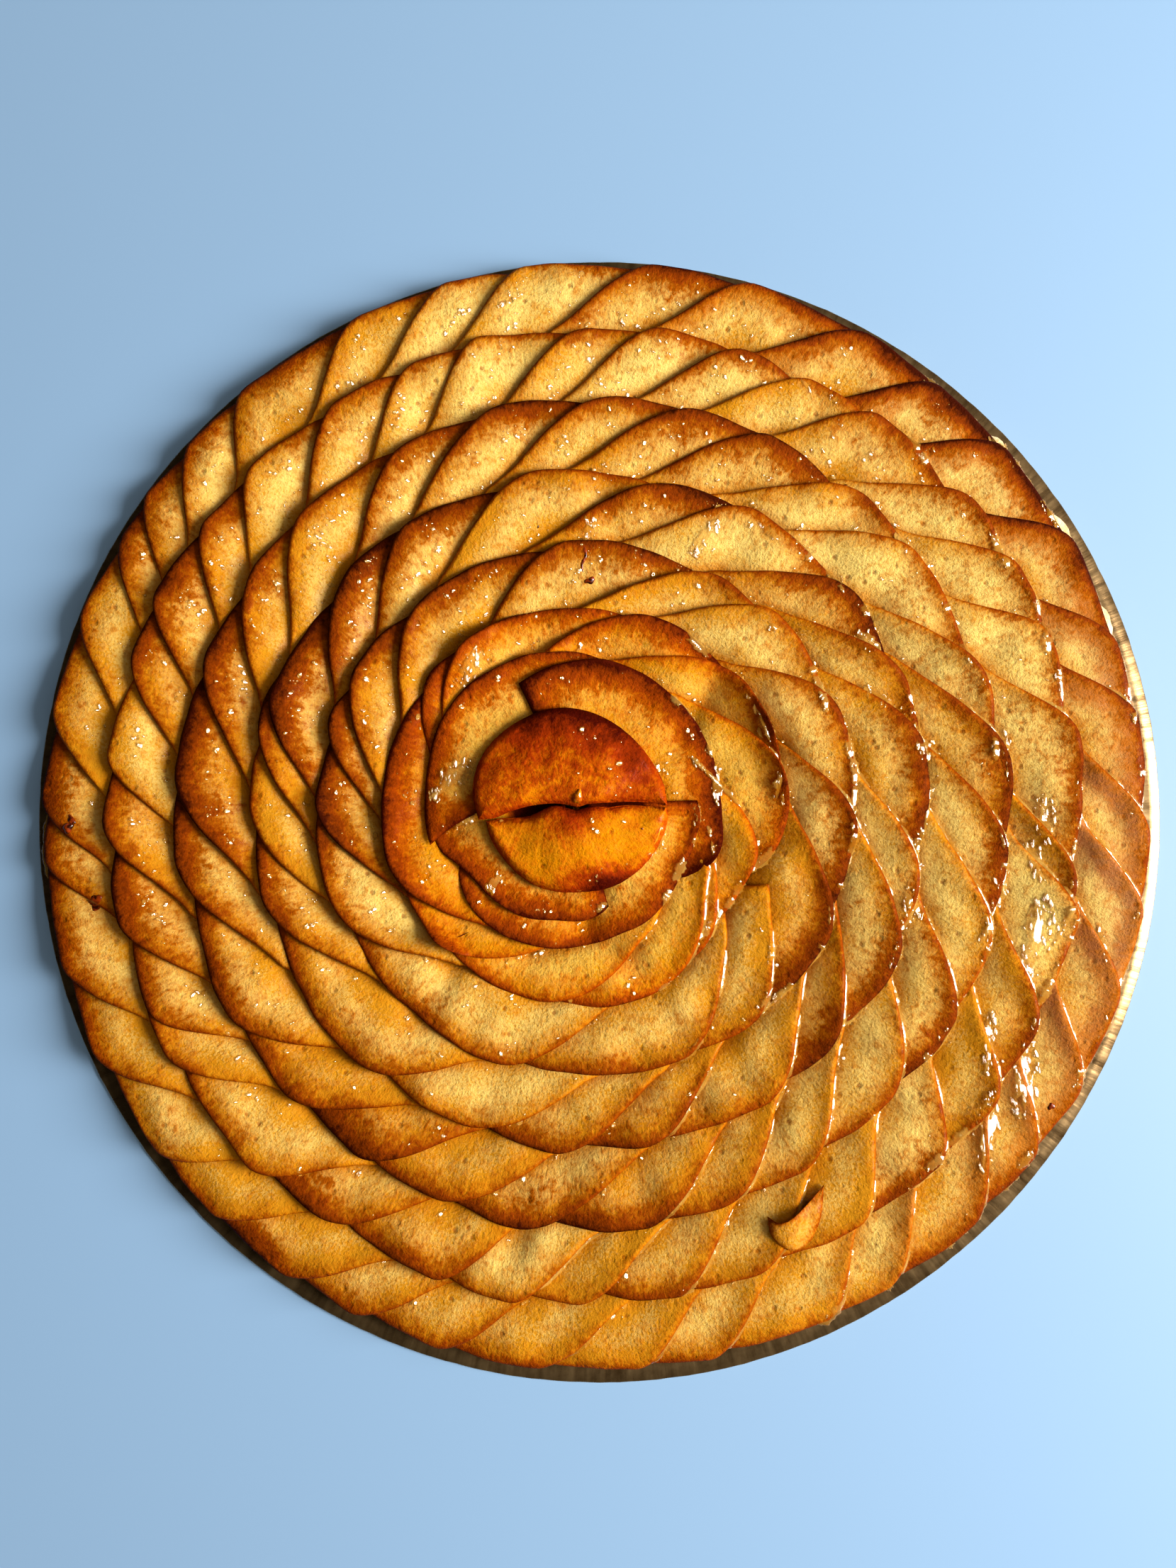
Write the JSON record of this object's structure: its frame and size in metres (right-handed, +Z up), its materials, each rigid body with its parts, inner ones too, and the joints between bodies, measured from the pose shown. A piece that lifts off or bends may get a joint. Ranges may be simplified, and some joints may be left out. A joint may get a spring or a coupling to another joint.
{
  "type": "thin apple tart",
  "caption": "Thin round apple tart on its flat gold pan: a rosette of shingled, glazed apple slices with browned edges on a flat pastry base.",
  "frame": {"origin": "centre of the pan's underside", "axes": "+Z up out of the pan, through the rosette; +Y towards the far side as the tart is seen from above"},
  "size_m": [0.3, 0.3, 0.0186],
  "materials": {
    "gold_foil": "dull gold foil on card",
    "baked_dough": "matte baked dough",
    "baked_apple": "soft baked apple under a clear glaze",
    "browned_apple": "browned apple under a clear glaze",
    "toasted_apple": "toasted apple under a clear glaze"
  },
  "bodies": {
    "root": {"apple_ring_1": "baked_apple", "apple_ring_2": "baked_apple", "apple_ring_3": "baked_apple", "apple_slice_4_01": "baked_apple", "apple_slice_4_02": "baked_apple", "apple_slice_4_03": "baked_apple", "apple_slice_4_04": "baked_apple", "apple_slice_4_05": "baked_apple", "apple_slice_4_06": "baked_apple", "apple_slice_4_07": "baked_apple", "apple_slice_4_08": "baked_apple", "apple_slice_4_09": "baked_apple", "apple_slice_4_10": "baked_apple", "apple_slice_4_11": "baked_apple", "apple_slice_4_12": "baked_apple", "apple_slice_4_13": "baked_apple", "apple_slice_4_14": "baked_apple", "apple_slice_4_15": "baked_apple", "apple_slice_4_16": "baked_apple", "apple_slice_4_17": "baked_apple", "apple_slice_4_18": "baked_apple", "apple_slice_4_19": "baked_apple", "apple_slice_4_20": "baked_apple", "apple_slice_5_01": "baked_apple", "apple_slice_5_02": "baked_apple", "apple_slice_5_03": "baked_apple", "apple_slice_5_04": "baked_apple", "apple_slice_5_05": "baked_apple", "apple_slice_5_06": "baked_apple", "apple_slice_5_07": "baked_apple", "apple_slice_5_08": "baked_apple", "apple_slice_5_09": "baked_apple", "apple_slice_5_10": "baked_apple", "apple_slice_5_11": "baked_apple", "apple_slice_5_12": "baked_apple", "apple_slice_5_13": "baked_apple", "apple_slice_5_14": "baked_apple", "apple_slice_6_01": "browned_apple", "apple_slice_6_02": "browned_apple", "apple_slice_6_03": "browned_apple", "apple_slice_6_04": "browned_apple", "apple_slice_6_05": "browned_apple", "apple_slice_6_06": "browned_apple", "apple_slice_6_07": "browned_apple", "apple_slice_6_08": "browned_apple", "apple_slice_6_09": "browned_apple", "apple_slice_6_10": "browned_apple", "apple_slice_6_11": "browned_apple", "apple_slice_7_01": "browned_apple", "apple_slice_7_02": "browned_apple", "apple_slice_7_03": "browned_apple", "apple_slice_7_04": "browned_apple", "middle_slice_lower": "toasted_apple", "middle_slice_upper": "toasted_apple", "pan": "gold_foil", "pastry": "baked_dough"}
  },
  "joints": []
}
